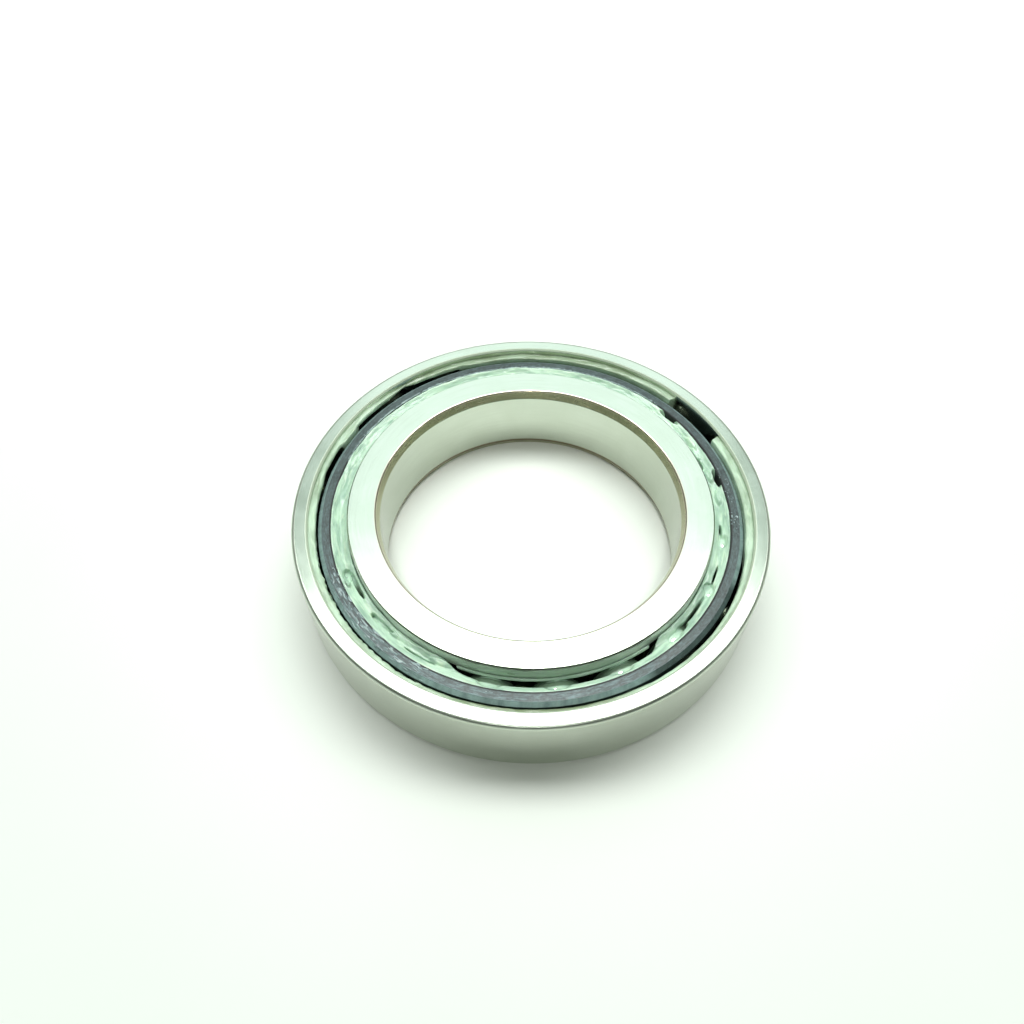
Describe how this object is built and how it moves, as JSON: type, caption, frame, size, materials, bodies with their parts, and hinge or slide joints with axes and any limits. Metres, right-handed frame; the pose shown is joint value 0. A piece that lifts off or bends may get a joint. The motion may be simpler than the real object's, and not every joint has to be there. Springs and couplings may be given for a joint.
{
  "type": "angular contact ball bearing",
  "caption": "Open single-row angular contact ball bearing: counterbored outer ring, inner ring and a machined polymer cage that spaces the balls, all turning about one axis.",
  "frame": {"origin": "centre of the inner ring's bore at mid-width", "axes": "+Z along the bearing's axis, out of the front: the outer ring's thin, counterbored side and the inner ring's thrust shoulder; +X and +Y are radial, and the first ball is 6.44 degrees from +X"},
  "size_m": [0.11, 0.11, 0.02],
  "materials": {
    "ring_steel": "ground and polished, scuffed",
    "ball_steel": "mirror",
    "cage_polymer": "machined, matte",
    "grease": "wet"
  },
  "bodies": {
    "outer_ring": {"outer_ring": "ring_steel"},
    "inner_ring": {"inner_ring": "ring_steel"},
    "cage": {"cage": "cage_polymer"},
    "ball_01": {"ball_01": "ball_steel"},
    "ball_02": {"ball_02": "ball_steel"},
    "ball_03": {"ball_03": "ball_steel"},
    "ball_04": {"ball_04": "ball_steel"},
    "ball_05": {"ball_05": "ball_steel"},
    "ball_06": {"ball_06": "ball_steel"},
    "ball_07": {"ball_07": "ball_steel"},
    "ball_08": {"ball_08": "ball_steel"},
    "ball_09": {"ball_09": "ball_steel"},
    "ball_10": {"ball_10": "ball_steel"},
    "ball_11": {"ball_11": "ball_steel"},
    "ball_12": {"ball_12": "ball_steel"},
    "ball_13": {"ball_13": "ball_steel"},
    "ball_14": {"ball_14": "ball_steel"},
    "ball_15": {"ball_15": "ball_steel"},
    "ball_16": {"ball_16": "ball_steel"},
    "ball_17": {"ball_17": "ball_steel"},
    "ball_18": {"ball_18": "ball_steel"},
    "ball_19": {"ball_19": "ball_steel"},
    "ball_20": {"ball_20": "ball_steel"}
  },
  "joints": [
    {"name": "inner_spin", "type": "hinge", "parent": "outer_ring", "child": "inner_ring", "pos_m": [0, 0, 0], "axis": [0, 0, 1], "continuous": true},
    {"name": "cage_spin", "type": "hinge", "parent": "outer_ring", "child": "cage", "pos_m": [0, 0, 0], "axis": [0, 0, 1], "continuous": true},
    {"name": "ball_01_spin", "type": "hinge", "parent": "cage", "child": "ball_01", "pos_m": [0.04472, 0.00505, 0], "axis": [0.42, 0.0474, 0.9063], "continuous": true},
    {"name": "ball_02_spin", "type": "hinge", "parent": "cage", "child": "ball_02", "pos_m": [0.04097, 0.01862, 0], "axis": [0.3847, 0.1749, 0.9063], "continuous": true},
    {"name": "ball_03_spin", "type": "hinge", "parent": "cage", "child": "ball_03", "pos_m": [0.03321, 0.03037, 0], "axis": [0.3119, 0.2852, 0.9063], "continuous": true},
    {"name": "ball_04_spin", "type": "hinge", "parent": "cage", "child": "ball_04", "pos_m": [0.0222, 0.03914, 0], "axis": [0.2085, 0.3676, 0.9063], "continuous": true},
    {"name": "ball_05_spin", "type": "hinge", "parent": "cage", "child": "ball_05", "pos_m": [0.00902, 0.04409, 0], "axis": [0.0847, 0.414, 0.9063], "continuous": true},
    {"name": "ball_06_spin", "type": "hinge", "parent": "cage", "child": "ball_06", "pos_m": [-0.00505, 0.04472, 0], "axis": [-0.0474, 0.42, 0.9063], "continuous": true},
    {"name": "ball_07_spin", "type": "hinge", "parent": "cage", "child": "ball_07", "pos_m": [-0.01862, 0.04097, 0], "axis": [-0.1749, 0.3847, 0.9063], "continuous": true},
    {"name": "ball_08_spin", "type": "hinge", "parent": "cage", "child": "ball_08", "pos_m": [-0.03037, 0.03321, 0], "axis": [-0.2852, 0.3119, 0.9063], "continuous": true},
    {"name": "ball_09_spin", "type": "hinge", "parent": "cage", "child": "ball_09", "pos_m": [-0.03914, 0.0222, 0], "axis": [-0.3676, 0.2085, 0.9063], "continuous": true},
    {"name": "ball_10_spin", "type": "hinge", "parent": "cage", "child": "ball_10", "pos_m": [-0.04409, 0.00902, 0], "axis": [-0.414, 0.0847, 0.9063], "continuous": true},
    {"name": "ball_11_spin", "type": "hinge", "parent": "cage", "child": "ball_11", "pos_m": [-0.04472, -0.00505, 0], "axis": [-0.42, -0.0474, 0.9063], "continuous": true},
    {"name": "ball_12_spin", "type": "hinge", "parent": "cage", "child": "ball_12", "pos_m": [-0.04097, -0.01862, 0], "axis": [-0.3847, -0.1749, 0.9063], "continuous": true},
    {"name": "ball_13_spin", "type": "hinge", "parent": "cage", "child": "ball_13", "pos_m": [-0.03321, -0.03037, 0], "axis": [-0.3119, -0.2852, 0.9063], "continuous": true},
    {"name": "ball_14_spin", "type": "hinge", "parent": "cage", "child": "ball_14", "pos_m": [-0.0222, -0.03914, 0], "axis": [-0.2085, -0.3676, 0.9063], "continuous": true},
    {"name": "ball_15_spin", "type": "hinge", "parent": "cage", "child": "ball_15", "pos_m": [-0.00902, -0.04409, 0], "axis": [-0.0847, -0.414, 0.9063], "continuous": true},
    {"name": "ball_16_spin", "type": "hinge", "parent": "cage", "child": "ball_16", "pos_m": [0.00505, -0.04472, 0], "axis": [0.0474, -0.42, 0.9063], "continuous": true},
    {"name": "ball_17_spin", "type": "hinge", "parent": "cage", "child": "ball_17", "pos_m": [0.01862, -0.04097, 0], "axis": [0.1749, -0.3847, 0.9063], "continuous": true},
    {"name": "ball_18_spin", "type": "hinge", "parent": "cage", "child": "ball_18", "pos_m": [0.03037, -0.03321, 0], "axis": [0.2852, -0.3119, 0.9063], "continuous": true},
    {"name": "ball_19_spin", "type": "hinge", "parent": "cage", "child": "ball_19", "pos_m": [0.03914, -0.0222, 0], "axis": [0.3676, -0.2085, 0.9063], "continuous": true},
    {"name": "ball_20_spin", "type": "hinge", "parent": "cage", "child": "ball_20", "pos_m": [0.04409, -0.00902, 0], "axis": [0.414, -0.0847, 0.9063], "continuous": true}
  ],
  "couplings": [
    {"joint": "cage_spin", "follows": "inner_spin", "ratio": 0.44005},
    {"joint": "ball_01_spin", "follows": "inner_spin", "ratio": -3.7253},
    {"joint": "ball_02_spin", "follows": "inner_spin", "ratio": -3.7253},
    {"joint": "ball_03_spin", "follows": "inner_spin", "ratio": -3.7253},
    {"joint": "ball_04_spin", "follows": "inner_spin", "ratio": -3.7253},
    {"joint": "ball_05_spin", "follows": "inner_spin", "ratio": -3.7253},
    {"joint": "ball_06_spin", "follows": "inner_spin", "ratio": -3.7253},
    {"joint": "ball_07_spin", "follows": "inner_spin", "ratio": -3.7253},
    {"joint": "ball_08_spin", "follows": "inner_spin", "ratio": -3.7253},
    {"joint": "ball_09_spin", "follows": "inner_spin", "ratio": -3.7253},
    {"joint": "ball_10_spin", "follows": "inner_spin", "ratio": -3.7253},
    {"joint": "ball_11_spin", "follows": "inner_spin", "ratio": -3.7253},
    {"joint": "ball_12_spin", "follows": "inner_spin", "ratio": -3.7253},
    {"joint": "ball_13_spin", "follows": "inner_spin", "ratio": -3.7253},
    {"joint": "ball_14_spin", "follows": "inner_spin", "ratio": -3.7253},
    {"joint": "ball_15_spin", "follows": "inner_spin", "ratio": -3.7253},
    {"joint": "ball_16_spin", "follows": "inner_spin", "ratio": -3.7253},
    {"joint": "ball_17_spin", "follows": "inner_spin", "ratio": -3.7253},
    {"joint": "ball_18_spin", "follows": "inner_spin", "ratio": -3.7253},
    {"joint": "ball_19_spin", "follows": "inner_spin", "ratio": -3.7253},
    {"joint": "ball_20_spin", "follows": "inner_spin", "ratio": -3.7253}
  ]
}
